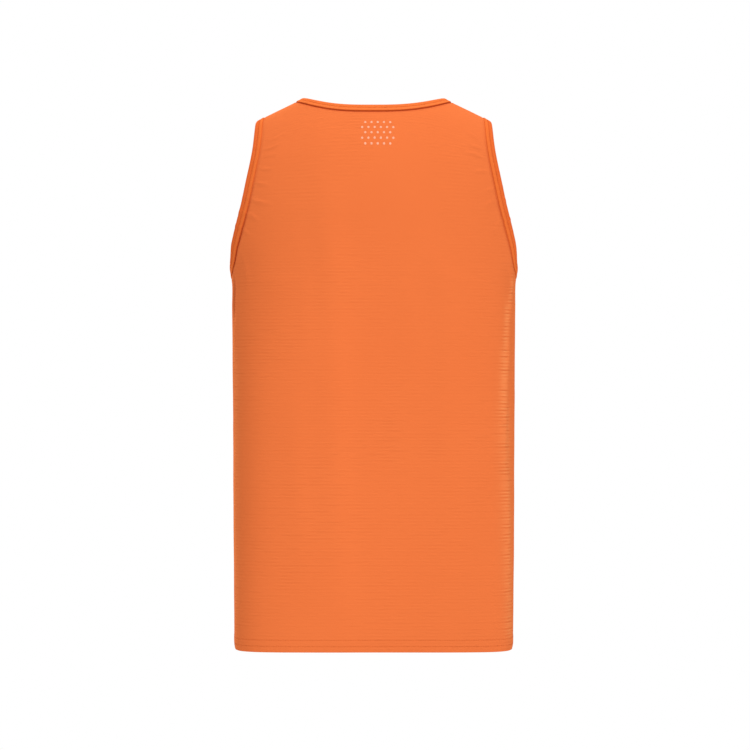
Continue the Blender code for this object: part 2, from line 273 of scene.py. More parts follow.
FOLD_FADE_IN = 0.12             # length of cloth over which a fold rises
FOLD_FADE_OUT = 0.25            # and over which it dies away
FOLD_RIM = 0.12                 # share of the way to the side seam that stays free of them

# The smaller creases, listed one by one. Each runs from one spot to another, both given as the
# distance from the centre line round the cloth and the drop below the neck point.
Crease = namedtuple("Crease", "from_x from_drop to_x to_drop half_width height bow")
BACK_CREASES = (
    # short pulls that run in from the left armhole
    (0.134, 0.050, 0.109, 0.043, 0.0024, 0.00071, 0.001),
    (0.140, 0.062, 0.112, 0.055, 0.0022, 0.00085, 0.002),
    (0.137, 0.074, 0.117, 0.073, 0.0026, 0.00064, -0.001),
    (0.142, 0.091, 0.121, 0.092, 0.0022, 0.00064, 0.001),
    (0.146, 0.110, 0.125, 0.114, 0.0028, 0.00071, 0.001),
    (0.152, 0.132, 0.120, 0.140, 0.0026, 0.00085, 0.002),
    (0.158, 0.151, 0.137, 0.162, 0.0030, 0.00085, -0.001),
    (0.164, 0.166, 0.151, 0.181, 0.0024, 0.00071, 0.001),
    # and from the right one
    (-0.135, 0.047, -0.112, 0.040, 0.0026, 0.00076, 0.001),
    (-0.139, 0.060, -0.118, 0.058, 0.0022, 0.00084, -0.001),
    (-0.142, 0.077, -0.110, 0.071, 0.0026, 0.00092, 0.002),
    (-0.146, 0.096, -0.120, 0.097, 0.0024, 0.00084, 0.001),
    (-0.149, 0.117, -0.131, 0.124, 0.0026, 0.00076, -0.001),
    (-0.155, 0.136, -0.124, 0.147, 0.0030, 0.00100, 0.002),
    (-0.164, 0.158, -0.146, 0.171, 0.0026, 0.00084, 0.001),
    # tight lines below the underarms, and the hollow of the tuck at the left one
    (0.172, 0.196, 0.164, 0.252, 0.0050, 0.00060, -0.002),
    (0.197, 0.228, 0.190, 0.292, 0.0054, -0.00260, 0.002),
    (0.190, 0.262, 0.182, 0.350, 0.0080, 0.00080, 0.003),
    (-0.176, 0.204, -0.196, 0.246, 0.0060, 0.00090, -0.002),
    # the ridge where the cloth turns to the wearer's right side
    (-0.192, 0.236, -0.178, 0.300, 0.0060, 0.00180, 0.002),
    (-0.178, 0.292, -0.171, 0.372, 0.0050, 0.00170, -0.001),
    (-0.172, 0.360, -0.166, 0.470, 0.0060, 0.00160, 0.002),
    (-0.168, 0.452, -0.172, 0.640, 0.0070, 0.00130, -0.002),
    (-0.157, 0.280, -0.152, 0.520, 0.0070, -0.00050, 0.001),
    (0.186, 0.420, 0.180, 0.610, 0.0070, 0.00050, 0.003),
    # broad, shallow ones down the middle of the back
    (0.052, 0.075, 0.040, 0.680, 0.0230, 0.00220, 0.003),
    (0.090, 0.120, 0.074, 0.400, 0.0150, 0.00050, 0.004),
    (-0.030, 0.190, -0.052, 0.400, 0.0160, 0.00060, -0.006),
    (-0.092, 0.090, -0.080, 0.690, 0.0200, 0.00110, -0.004),
    (0.096, 0.380, 0.082, 0.640, 0.0150, 0.00070, 0.005),
    (-0.110, 0.330, -0.094, 0.620, 0.0150, 0.00060, -0.004),
    # long, narrow ones down the sides
    (0.222, 0.420, 0.216, 0.780, 0.0080, 0.00120, 0.002),
    (-0.220, 0.380, -0.214, 0.760, 0.0080, 0.00110, -0.002),
)
FRONT_CREASES = (
    # the front is pulled the same way, with drag lines from the shoulders to the chest
    (0.124, 0.058, 0.095, 0.050, 0.0032, 0.00048, 0.001),
    (0.126, 0.080, 0.103, 0.081, 0.0035, 0.00048, -0.001),
    (0.128, 0.104, 0.094, 0.112, 0.0032, 0.00058, 0.002),
    (0.136, 0.132, 0.110, 0.145, 0.0038, 0.00053, 0.001),
    (0.148, 0.156, 0.125, 0.174, 0.0035, 0.00053, -0.001),
    (-0.124, 0.052, -0.098, 0.043, 0.0032, 0.00048, 0.001),
    (-0.125, 0.071, -0.093, 0.070, 0.0035, 0.00053, 0.002),
    (-0.127, 0.094, -0.105, 0.099, 0.0030, 0.00043, -0.001),
    (-0.132, 0.122, -0.096, 0.135, 0.0038, 0.00058, 0.002),
    (-0.144, 0.150, -0.121, 0.168, 0.0035, 0.00053, 0.001),
    (0.112, 0.030, 0.070, 0.190, 0.0100, 0.00080, 0.006),
    (-0.110, 0.028, -0.076, 0.170, 0.0100, 0.00070, -0.005),
    (0.194, 0.240, 0.170, 0.340, 0.0080, 0.00100, 0.004),
    (-0.196, 0.242, -0.176, 0.320, 0.0080, 0.00100, -0.004),
    (-0.178, 0.330, -0.172, 0.560, 0.0060, 0.00090, 0.003),
    (0.178, 0.400, 0.172, 0.600, 0.0070, 0.00080, -0.003),
    (0.036, 0.170, 0.014, 0.380, 0.0150, 0.00070, 0.005),
    (-0.060, 0.220, -0.040, 0.470, 0.0160, 0.00070, -0.006),
    (0.110, 0.360, 0.096, 0.630, 0.0150, 0.00070, 0.005),
    # the front hangs free of the waist in long soft folds that open towards the hem
    (0.152, 0.300, 0.132, 0.760, 0.0180, 0.00340, 0.008),
    (0.078, 0.380, 0.056, 0.790, 0.0200, 0.00300, -0.006),
    (0.006, 0.340, -0.006, 0.770, 0.0210, -0.00240, 0.004),
    (-0.052, 0.420, -0.044, 0.800, 0.0180, 0.00280, 0.005),
    (-0.136, 0.280, -0.118, 0.780, 0.0200, 0.00360, -0.007),
)
CREASES = {"back": [Crease(*row) for row in BACK_CREASES],
           "front": [Crease(*row) for row in FRONT_CREASES]}
FINE_CREASE = 0.0045            # creases narrower than this get mesh rows of their own
FINE_PITCH = 0.0022             # with points this far apart
SWELL_START = 0.12              # how far up a half wave a crease's height starts
SWELL_SPAN = 0.80               # how much of that wave it follows
SWELL_POWER = 1.5
CREASE_HOLLOW = 0.6             # the shallow hollow at each side, as a share of the height

# Slow, uneven waves that keep any stretch of cloth from being quite flat: the height, then the
# turns across, the turns down and the start of two waves that are multiplied.
SLOW_WAVES = (
    (0.00022, (31, 9, 1.3), (-14, 23, 0.4)),
    (0.00012, (67, -38, 0.0), (29, 52, 2.1)),
)

NECK_LANES = 68                 # mesh edges along half the neck seam
SHOULDER_LANES = 18             # along a shoulder seam
ARMHOLE_LANES = 120             # along one panel's side of an armhole
SIDE_LANES = 100                # along a side seam
HEM_LANES = 100                 # along half a panel's hem
# rows of the mesh that follow a plain seam and a bound edge: how far inside the seam line they are
PLAIN_ROWS = (0.0, 0.0005, 0.0010, 0.0016, 0.0024, 0.0036, 0.0052)
BOUND_ROWS = (-0.0016, -0.0008, -0.0002, 0.0004, 0.0011, 0.0022, 0.0044)
BOUND_START = 0.006             # length over which the cloth starts to run on into its binding
YOKE_FOOT = 0.330               # drop below which the cloth hangs nearly straight
YOKE_SQUEEZE = 0.85             # width of a mesh face above there, as a share of its height
BODY_SQUEEZE = 0.45             # and below
EVEN_TRIANGLE = 0.87            # height of an even triangle, as a share of its side
BEND_LENGTH = 0.040             # extra length counted for each radian of bend
HEM_ZONE = 0.019                # the lowest strip, where the hem's stitches lie
HEM_TURN = 0.0154               # cloth turned up inside
HEM_ROWS = (22, 4, 8)           # mesh rows down its outside, round its fold and up its inside
HEM_FOLD = 0.0006               # radius of the fold at the hem
HEM_LINES = (0.0077, 0.0154)    # heights of its two lines of stitches
HEM_LINE_WIDTH = 0.0009         # half the width of the hollow along such a line
HEM_LINE_SINK = 0.00028         # and its depth
HEM_STEP = 0.00030              # how far the doubled cloth stands out
HEM_STEP_AT = 0.0012            # where that ends above the turned-up cloth
HEM_STEP_WIDTH = 0.0005
HEM_CURL = 0.0013               # how far the hem's edge curls in
HEM_CURL_LENGTH = 0.008
SEAM_DIP = 0.0009               # how far the cloth rolls in at a plain seam
SEAM_SHADE = 0.4                # how dark the painted shade at that seam is, as a share of a full groove
GROOVE = 0.0012                 # how far the cloth is drawn down beside a binding
GROOVE_AT = 0.0005
GROOVE_WIDTH = 0.0009
GROOVE_SHADE_WIDTH = 0.0015
ROLL = 0.0004                   # the soft roll next to that groove
ROLL_AT = 0.0030
ROLL_WIDTH = 0.0012


def across_scale(panel, bend_length):
    """Matching angles and distances round the cloth from the centre line."""
    angles = np.linspace(-np.pi / 2, np.pi / 2, 801)
    points = form_point(panel, angles, np.full_like(angles, down_to(panel, YOKE_FOOT)))
    steps = np.diff(points, axis=0)
    bend = np.abs(np.gradient(np.unwrap(np.arctan2(steps[:, 1], steps[:, 0]))))
    across = np.cumsum(np.linalg.norm(steps, axis=-1) + bend_length * bend)
    return angles, np.concatenate([[0], across]) - across[-1] / 2


def on_cloth(panel, angle, down):
    """How far round the cloth from the centre line a spot is, and its drop."""
    return np.interp(angle, *across_scale(panel, 0)), level(panel, down)[0]


def cloth_lift(panel, angle, down):
    """How far folds and creases lift the cloth off the form."""
    x, drop = on_cloth(panel, angle, down)
    side = angle / edge_angle(panel, down)
    lift = np.zeros_like(drop)
    for fold in FOLDS[panel.name]:
        middle = fold.side_from + (fold.side_to - fold.side_from) * part_way(drop, fold.top, LENGTH)
        fade_in = np.clip((drop - fold.top) / FOLD_FADE_IN, 0, 1)
        fade_out = np.clip((fold.foot - drop) / FOLD_FADE_OUT, 0, 1)
        lift += fold.height * bell(side, middle, fold.half_width) * fade_in ** 2 * fade_out
    rim = np.clip((1 - np.abs(side)) / FOLD_RIM, 0, 1)
    lift *= rim * rim * (3 - 2 * rim)
    for crease in CREASES[panel.name]:
        run = np.array([crease.to_x - crease.from_x, crease.to_drop - crease.from_drop])
        length = np.hypot(*run)
        run /= length
        out_x = x - crease.from_x
        out_drop = drop - crease.from_drop
        along = (out_x * run[0] + out_drop * run[1]) / length
        inside = np.clip(along, 0, 1)
        beside = out_x * run[1] - out_drop * run[0] - crease.bow * np.sin(np.pi * inside)
        past = (along - inside) * length
        away = np.hypot(beside, past) / crease.half_width
        # a crease swells and fades along its run, with a shallow hollow at each side
        swell = np.sin(np.pi * (SWELL_START + SWELL_SPAN * inside)) ** SWELL_POWER
        profile = (1 + CREASE_HOLLOW) * bell(away, 0, 1) - CREASE_HOLLOW * bell(away, 0, 2)
        lift += crease.height * swell * profile
    for height, *waves in SLOW_WAVES:
        first, second = (np.sin(across * x + down * drop + start) for across, down, start in waves)
        lift += height * first * second
    return lift


def cloth_point(panel, angle, down):
    """Point of the cloth's middle surface, folds and creases and all, and its normal."""
    _, _, normal = form_slopes(panel, angle, down)
    lift = cloth_lift(panel, angle, down)
    return form_point(panel, angle, down) + normal * lift[..., None], normal


def corner_clearance(panel, edge, corners):
    """At each point of a sewn edge, how far along it the nearest corner is."""
    reached = lengths_along(form_point(panel, *edge.T))
    return np.abs(reached[:, None] - reached[corners]).min(axis=1)


def inset(panel, edge, clear, distance):
    """A sewn edge moved into the panel, square to the edge, and less so close to its corners."""
    across, along, normal = form_slopes(panel, *edge.T)
    run = np.gradient(form_point(panel, *edge.T), axis=0)
    inward = unit(np.cross(normal, run) * panel.side)
    inward *= np.minimum(distance, clear / 2 + distance / 6)[:, None]
    to_pairs = np.linalg.pinv(np.stack([across, along], axis=-1))
    moved = edge + np.einsum("nij,nj->ni", to_pairs, inward)
    moved[[0, -1], 1] = edge[[0, -1], 1]
    return moved


def well_inside(points, outline, clearance):
    """Which points of the flat plan lie inside an outline and clear of it."""
    along = np.roll(outline, -1, axis=0) - outline
    slant = along[:, 0] / np.where(along[:, 1] == 0, 1, along[:, 1])
    offset = points[:, None] - outline
    share = np.clip(np.sum(offset * along, axis=-1) / np.sum(along * along, axis=-1), 0, 1)
    clear = np.linalg.norm(offset - share[..., None] * along, axis=-1).min(axis=1)
    level_with = (offset[..., 1] < 0) != (offset[..., 1] < along[:, 1])
    crossed = level_with & (offset[..., 0] < slant * offset[..., 1])
    return (clear > clearance) & (crossed.sum(axis=1) % 2 == 1)


def crease_rows(panel):
    """Angles and lengths down of rows of points that follow the narrow creases."""
    angles, across = across_scale(panel, 0)
    downs = np.linspace(0, down_to(panel, LENGTH), 2001)
    drops = level(panel, downs)[0]
    rows = []
    for crease in CREASES[panel.name]:
        if crease.half_width < FINE_CREASE:
            start = np.array([crease.from_x, crease.from_drop])
            run = np.array([crease.to_x, crease.to_drop]) - start
            length = np.hypot(*run)
            beside = np.array([run[1], -run[0]]) / length
            share = np.linspace(0, 1, int(length / FINE_PITCH) + 1)[:, None]
            line = start + run * share + beside * crease.bow * np.sin(np.pi * share)
            for offset in (-2.0, -1.3, -0.65, 0, 0.65, 1.3, 2.0):
                rows.append(line + beside * offset * crease.half_width)
    return rescale(np.concatenate(rows), across, angles, drops, downs)


def fill_points(outline, pitch, fine):
    """Staggered points inside an outline on the flat plan, with the fine rows let in."""
    low, high = outline.min(axis=0), outline.max(axis=0)
    fine = fine[well_inside(fine, outline, pitch / 3)]
    kept = [fine]
    for row, depth in enumerate(np.arange(high[1], low[1], -pitch * EVEN_TRIANGLE)):
        x = np.arange(0, high[0], pitch) + pitch / 2 * (row % 2)
        x = np.concatenate([-x[x > 0][::-1], x])
        points = np.stack([x, np.full_like(x, depth)], axis=-1)
        free = np.linalg.norm(points[:, None] - fine, axis=-1).min(axis=1) > pitch * 0.6
        kept.append(points[free & well_inside(points, outline, pitch / 2)])
    return np.concatenate(kept)


# How deep the groove beside a binding is, and how dark its painted shade: all along the neck, and down
# each armhole.
NECK_GROOVE = 0.74
RIGHT_GROOVE = (0.08, 0.14, 0.30, 0.38, 0.40, 0.42, 0.40)
LEFT_GROOVE = (0.08, 0.10, 0.16, 0.38, 0.80, 1.00, 1.00)


def seam_strength(number):
    """How deep the groove is along a panel's edge, and how dark its painted shade; 0 at a plain seam."""
    halves = []
    for depths in (RIGHT_GROOVE, LEFT_GROOVE):
        strength = np.zeros(number)
        strength[:NECK_LANES + 1] = NECK_GROOVE
        share = np.linspace(0, 1, ARMHOLE_LANES + 1)
        armhole = np.interp(share, np.linspace(0, 1, len(depths)), depths)
        strength[NECK_LANES + SHOULDER_LANES:][:ARMHOLE_LANES + 1] = armhole
        halves.append(strength)
    return np.concatenate([halves[0][:0:-1], halves[1]])


def hem_offset(up):
    """How far the cloth stands out at a height above the hem's lower edge."""
    drawn = sum(bell(up, line, HEM_LINE_WIDTH) for line in HEM_LINES)
    doubled = 1 / (1 + np.exp((up - HEM_TURN - HEM_STEP_AT) / HEM_STEP_WIDTH))
    curl = HEM_CURL * np.clip(1 - up / HEM_CURL_LENGTH, 0, 1) ** 2
    return HEM_STEP * doubled - HEM_LINE_SINK * drawn - curl


# Painted shade for a small tuck on the back, where the cloth is pinched at the top of the left side
# seam.
TUCK_X = 0.195
TUCK_DROP = 0.252
TUCK_HALF_WIDTH = 0.0048
TUCK_HALF_LENGTH = 0.024
# how dark the painted shade in the tuck is at its middle
TUCK_SHADE_STRENGTH = 0.42

# Upright bands where the cloth is eased in and its ribs stand out more, with a painted highlight on
# their crests.
RibBand = namedtuple("RibBand", "from_x from_drop to_x to_drop half_width extra")
RIB_BANDS = {
    "back": (
        RibBand(-0.190, 0.242, -0.175, 0.276, 0.0042, 1.5),
        RibBand(-0.175, 0.276, -0.169, 0.330, 0.0048, 1.8),
        RibBand(-0.169, 0.330, -0.165, 0.400, 0.0068, 1.9),
        RibBand(-0.168, 0.400, -0.173, 0.675, 0.0115, 1.4),
        RibBand(0.186, 0.330, 0.182, 0.640, 0.0090, 0.5),
    ),
    "front": (
        RibBand(-0.172, 0.280, -0.164, 0.660, 0.0190, 0.6),
        RibBand(0.174, 0.300, 0.166, 0.630, 0.0190, 0.4),
    ),
}
RIB_BAND_FADE = 0.012           # length over which a band fades out at its ends
SMOOTHER_YOKE = 0.6             # how much less the ribs stand out over the shoulders
SMOOTHER_DROPS = (0.12, 0.24)   # and the drops between which that wears off


def tuck_shade(panel, pairs):
    """How dark the tuck's painted shade is at each point of the cloth, from 0 to 1."""
    x, drop = on_cloth(panel, *pairs.T)
    near = bell(x, TUCK_X, TUCK_HALF_WIDTH) * bell(drop, TUCK_DROP, TUCK_HALF_LENGTH)
    return TUCK_SHADE_STRENGTH * near * (panel is BACK)


def rib_relief_and_highlight(panel, pairs):
    """How much more the ribs stand out at each point than elsewhere; where it is above 0 it also sets
    the painted highlight on their crests.
    """
    x, drop = on_cloth(panel, *pairs.T)
    extra = np.zeros(len(pairs))
    for band in RIB_BANDS[panel.name]:
        share = part_way(drop, band.from_drop, band.to_drop)
        middle = band.from_x + (band.to_x - band.from_x) * share
        nearest = np.clip(drop, band.from_drop, band.to_drop)
        near = bell(x, middle, band.half_width) * bell(drop, nearest, RIB_BAND_FADE)
        extra = np.maximum(extra, band.extra * near)
    # over the shoulders the cloth is stretched smoother
    return extra - SMOOTHER_YOKE * (1 - part_way(drop, *SMOOTHER_DROPS))


def grid_faces(rows, columns, rows_close=False, columns_close=False, first=0):
    """Faces of a grid of points, numbered row by row, that may close on itself either way."""
    faces = []
    for row in range(rows if rows_close else rows - 1):
        near = first + row * columns
        far = first + (row + 1) % rows * columns
        for i in range(columns if columns_close else columns - 1):
            j = (i + 1) % columns
            faces.append((near + i, near + j, far + j, far + i))
    return faces


def new_piece(name, points, faces):
    """A smoothly shaded object made of points and faces."""
    mesh = bpy.data.meshes.new(name)
    mesh.from_pydata([tuple(point) for point in points], [], faces)
    mesh.shade_smooth()
    piece = bpy.data.objects.new(name, mesh)
    bpy.context.scene.collection.objects.link(piece)
    return piece


def hang(piece, material):
    """Turn a piece's faces to look the same way, dress it in its cloth and hang it on the vest."""
    work = bmesh.new()
    work.from_mesh(piece.data)
    bmesh.ops.recalc_face_normals(work, faces=work.faces)
    work.to_mesh(piece.data)
    work.free()
    piece.data.materials.append(material)
    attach(piece, "root")


def sewn_edge(panel, hem_top):
    """Half of a panel's sewn edge, from the middle of the neck down to the hem."""
    neck = evenly(panel, *neck_edge(panel), NECK_LANES)
    shoulder = shoulder_line(panel, SHOULDER_LANES)
    armhole = evenly(panel, *armhole_edge(panel), ARMHOLE_LANES)
    side_down = np.linspace(armhole[-1, 1], hem_top, SIDE_LANES + 1)
    side = np.stack([edge_angle(panel, side_down), side_down], axis=-1)
    return np.concatenate([neck, shoulder[1:], armhole[1:], side[1:]])


def hem_rows(panel, angle, dips):
    """Rows of points round the hem, moved by dips as the cloth above them is at its seams."""
    lowest = down_to(panel, LENGTH)
    fold_up = HEM_FOLD + CLOTH / 2
    outside, turned, inside = (number + 1 for number in HEM_ROWS)

    def row_at(up):
        spot, normal = cloth_point(panel, angle, np.full_like(angle, lowest - up))
        return spot + dips + normal * hem_offset(up), normal

    rows = []
    for up in np.linspace(fold_up + HEM_ZONE, fold_up, outside)[1:]:
        spot, normal = row_at(up)
        rows.append((spot, lowest - up))
    for turn in np.linspace(0, np.pi, turned)[1:]:
        fall = np.array([0, 0, HEM_FOLD * np.sin(turn)])
        rolled = spot - fall - normal * HEM_FOLD * (1 - np.cos(turn))
        rows.append((rolled, lowest - fold_up + HEM_FOLD * turn))
    for up in np.linspace(fold_up, HEM_TURN, inside)[1:]:
        spot, normal = row_at(up)
        rows.append((spot - normal * 2 * HEM_FOLD, lowest + up))
    return rows


def make_panel(panel):
    """The whole panel as a thin shell, with its sewn edges rolled in and its hem turned up."""
    foot = down_to(panel, YOKE_FOOT)
    hem = down_to(panel, LENGTH) - HEM_FOLD - CLOTH / 2
    hem_top = hem - HEM_ZONE
    angles, plan_x = across_scale(panel, BEND_LENGTH)
    downs = np.array([0, foot, hem])
    plan_y = np.array([0, foot * YOKE_SQUEEZE, foot * YOKE_SQUEEZE + (hem - foot) * BODY_SQUEEZE])

    # the sewn edge, from the foot of one side seam up over the neck to the foot of the other, and
    # the rows that follow it
    half = sewn_edge(panel, hem_top)
    edge = both_sides(half)
    count = len(edge)
    corners = np.cumsum([NECK_LANES, SHOULDER_LANES, ARMHOLE_LANES])
    corners = np.concatenate([len(half) - 1 - corners, len(half) - 1 + corners])
    clear = corner_clearance(panel, edge, corners)
    strength = seam_strength(len(half))
    bound = np.clip(clear / BOUND_START, 0, 1) * (strength > 0)
    distances = np.array(PLAIN_ROWS)[:, None] * (1 - bound) + np.array(BOUND_ROWS)[:, None] * bound
    strips = [inset(panel, edge, clear, distance) for distance in distances]

    # the field of the panel
    bottom_x = np.interp(strips[-1][[-1, 0], 0], angles, plan_x)
    bottom_x = np.linspace(*bottom_x, 2 * HEM_LANES + 1)[1:-1]
    bottom = np.stack([np.interp(bottom_x, plan_x, angles), np.full(len(bottom_x), hem_top)], axis=-1)
    rim = np.concatenate([strips[-1], bottom])
    to_plan = (angles, plan_x, downs, plan_y)
    outline = rescale(rim, *to_plan)
    fine = rescale(crease_rows(panel), *to_plan)
    inner = fill_points(outline, bottom_x[0] - bottom_x[1], fine)
    plan_points = [Vector(point) for point in np.concatenate([outline, inner])]
    filled = delaunay_2d_cdt(plan_points, [], [list(range(len(outline)))], 1, 1e-7, True)
    _, _, facets, sources, _, owners = filled
    inner = rescale(inner, plan_x, angles, plan_y, downs)
    start = (len(strips) - 1) * count
    faces = [tuple(sources[i][0] + start for i in facet)
             for facet, owner in zip(facets, owners) if owner]
    faces += grid_faces(len(strips), count)
    pairs = np.concatenate(strips[:-1] + [rim, inner])
    points, normals = cloth_point(panel, *pairs.T)

    # the cloth rolls in at the plain seams, and is drawn down beside the bindings; painted shade darkens
    # both seam lines, most beside the bindings
    # painted shade in the tuck first, then along the seams
    shade = tuck_shade(panel, pairs)
    for row, distance in enumerate(distances):
        rows = slice(row * count, (row + 1) * count)
        drawn = GROOVE * bell(distance, GROOVE_AT, GROOVE_WIDTH)
        drawn = drawn - ROLL * bell(distance, ROLL_AT, ROLL_WIDTH)
        rolled = SEAM_DIP * bell(distance, 0, ROLL_WIDTH)
        sunk = bound * strength * drawn + (1 - bound) * rolled
        points[rows] -= normals[rows] * sunk[:, None]
        # how dark the painted shade along the seam line is
        depth = bound * strength + (1 - bound) * SEAM_SHADE
        shade[rows] = np.maximum(shade[rows], depth * bell(distance, GROOVE_AT, GROOVE_SHADE_WIDTH))

    # the hem carries on below the lowest row of the field and of the strips at its sides
    above = [row * count + count - 1 for row in range(len(strips))]
    above += list(range(start + count, start + count + len(bottom)))
    above += [row * count for row in reversed(range(len(strips)))]
    angle, down = pairs[above].T
    dips = points[above] - cloth_point(panel, angle, down)[0]
    hem_shade = shade[above]
    for spot, row_down in hem_rows(panel, angle, dips):
        now = [len(points) + i for i in range(len(angle))]
        for i in range(len(angle) - 1):
            faces.append((above[i], above[i + 1], now[i + 1], now[i]))
        above = now
        points = np.concatenate([points, spot])
        row_pairs = np.stack([angle, np.full_like(angle, row_down)], axis=-1)
        pairs = np.concatenate([pairs, row_pairs])
        shade = np.concatenate([shade, hem_shade])

    piece = new_piece(panel.name + "_panel", points, faces)
    mesh = piece.data
    corner_points = np.zeros(len(mesh.loops), dtype=np.int32)
    mesh.loops.foreach_get("vertex_index", corner_points)
    flat = np.stack([np.interp(pairs[:, 0], *across_scale(panel, 0)), -pairs[:, 1]], axis=-1)
    flat = flat[corner_points].astype(np.float32)
    mesh.uv_layers.new(name="cloth").data.foreach_set("uv", flat.ravel())
    for attribute, values in (("seam_shade", shade), ("rib_relief_and_highlight", rib_relief_and_highlight(panel, pairs))):
        layer = mesh.attributes.new(attribute, "FLOAT", "POINT")
        layer.data.foreach_set("value", values.astype(np.float32))
    shell = piece.modifiers.new("cloth", "SOLIDIFY")
    shell.thickness = CLOTH
    shell.offset = 0
    shell.use_quality_normals = True
    return piece


KNIT_COLOUR = (0.420, 0.094, 0.0260, 1)
# the darker tone, for the dye's slow clouds and for painted shade between loops and ribs
KNIT_SHADE = (0.372, 0.075, 0.0195, 1)
# painted highlight colour for the rib crests in the rib bands
RIB_HIGHLIGHT_COLOUR = (0.470, 0.145, 0.0480, 1)
# painted shade colour for the grooves beside the bindings, the plain seams and the tuck
GROOVE_SHADE_COLOUR = (0.200, 0.005, 0.0005, 1)
SHEEN_COLOUR = (1.0, 0.40, 0.14, 1)
RIB_PITCH = 0.0042              # the faint cross ribs
RIB_RELIEF = 0.00007
RIB_SHADE_AND_LIGHT = 1450                 # painted shade between ribs and painted light on their crests, for each metre of relief
RIB_DASHES = (34, 210)          # how often the ribs come and go in a metre, across and down
WALE_PITCH = 0.0011             # the knit's own columns and rows of loops
COURSE_PITCH = 0.0009
LOOP_RELIEF = 0.000013
WANDER = 0.0016                 # how far rows stray from level


def set_sockets(material, node, values):
    """Put numbers, colours or other nodes' outputs on a node's sockets."""
    for socket, value in values.items():
        if isinstance(value, bpy.types.NodeSocket):
            material.node_tree.links.new(value, node.inputs[socket])
        else:
            node.inputs[socket].default_value = value


def add_node(material, kind, values, **settings):
    """A new node with its settings and what goes on its sockets."""
    node = material.node_tree.nodes.new("ShaderNode" + kind)
    for setting, value in settings.items():
        setattr(node, setting, value)
    set_sockets(material, node, values)
    return node


def surface(material, values):
    """Put numbers, colours or nodes' outputs on the material's own surface."""
    set_sockets(material, material.node_tree.nodes["Principled BSDF"], values)


def new_material(name, values):
    """A material with these values on its surface."""
    material = bpy.data.materials.new(name)
    material.use_nodes = True
    surface(material, values)
    return material


def knit_material(name, colour, shade, rib):
    """Fine dyed knit: loops, a faint cross rib, slow changes of shade and a soft sheen, with painted
    shade in the hollows between loops and ribs, painted light on the rib crests, a painted highlight in
    the rib bands and painted shade in the seam grooves.
    """
    material = new_material(name, {"Roughness": 0.70, "Specular IOR Level": 0.0, "Sheen Weight": 0.13,
                                   "Sheen Roughness": 0.40, "Sheen Tint": SHEEN_COLOUR})

    def combine(operation, first, second):
        return add_node(material, "Math", {0: first, 1: second}, operation=operation).outputs[0]

    def wave(value, pitch):
        turn = combine("MULTIPLY", value, 2 * np.pi / pitch)
        return add_node(material, "Math", {0: turn}, operation="SINE").outputs[0]

    def noise(vector, scale, detail):
        values = {"Vector": vector, "Scale": scale, "Detail": detail}
        return add_node(material, "TexNoise", values).outputs["Fac"]

    def stretch(value, low, high, to_low, to_high):
        values = {"Value": value, "From Min": low, "From Max": high, "To Min": to_low, "To Max": to_high}
        return add_node(material, "MapRange", values).outputs["Result"]

    def mix(factor, first, second, **settings):
        values = {"Factor": factor, "A": first, "B": second}
        return add_node(material, "Mix", values, data_type="RGBA", **settings).outputs["Result"]

    def attribute(kept):
        return add_node(material, "Attribute", {}, attribute_name=kept).outputs["Fac"]

    place = add_node(material, "UVMap", {}, uv_map="cloth").outputs["UV"]
    x, y, _ = add_node(material, "SeparateXYZ", {0: place}).outputs

    # each loop of the knit leans one way and then the other, as a row of small Vs
    line = combine("ADD", y, combine("MULTIPLY", noise(place, 40, 3), WANDER))
    leaning = combine("ADD", line, combine("PINGPONG", x, WALE_PITCH / 2))
    course = combine("MULTIPLY", wave(leaning, COURSE_PITCH), 0.6)
    loops = combine("ADD", course, wave(x, WALE_PITCH))

    # the ribs come and go in short dashes, and stand out more in some places than in others
    spread = {"X": combine("MULTIPLY", x, RIB_DASHES[0]), "Y": combine("MULTIPLY", y, RIB_DASHES[1])}
    dashes = noise(add_node(material, "CombineXYZ", spread).outputs[0], 1, 2)
    dashed = combine("MULTIPLY", wave(line, RIB_PITCH), stretch(dashes, 0.42, 0.60, 0.10, 1.9))
    stronger = attribute("rib_relief_and_highlight")
    patches = combine("ADD", stronger, stretch(noise(place, 7, 1), 0.38, 0.62, 0.45, 1.45))
    rib_depth = combine("MAXIMUM", combine("MULTIPLY", patches, rib), 0.0)
    ribs = combine("MULTIPLY", dashed, rib_depth)
    relief = combine("ADD", combine("MULTIPLY", loops, LOOP_RELIEF), ribs)
    bump = add_node(material, "Bump", {"Height": relief, "Distance": 1.0, "Strength": 1.0})

    # painted shade darkens the colour in the hollows between loops and between ribs, and painted light
    # pales the ribs' crests; the dye also darkens in slow clouds; a painted highlight pales the crests
    # more in the rib bands, and painted shade fills the seam grooves
    valley = combine("MULTIPLY", combine("SUBTRACT", 1.0, loops), 0.10)
    amount = combine("ADD", valley, combine("MULTIPLY", noise(place, 9, 4), 0.28))
    # painted shade between the ribs and painted light on their crests
    amount = combine("SUBTRACT", amount, combine("MULTIPLY", ribs, RIB_SHADE_AND_LIGHT))
    dyed_and_shaded = mix(amount, colour, shade, name="cloth_colour")
    # painted highlight on the rib crests in the rib bands
    crest = combine("MULTIPLY", combine("ADD", dashed, 1.5), 0.17)
    lit = mix(combine("MULTIPLY", crest, combine("MAXIMUM", stronger, 0.0)), dyed_and_shaded, RIB_HIGHLIGHT_COLOUR)
    # painted shade in the seam grooves and the tuck
    shaded = mix(attribute("seam_shade"), lit, GROOVE_SHADE_COLOUR)
    surface(material, {"Base Color": shaded, "Normal": bump.outputs["Normal"]})
    return material


knit = knit_material("orange_knit_cloth", KNIT_COLOUR, KNIT_SHADE, RIB_RELIEF)
for panel, cut, area in ((BACK, (0.515, 0.760), 0.320), (FRONT, (0.515, 0.768), 0.306)):
    piece = make_panel(panel)
    hang(piece, knit)
    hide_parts(panel.name)


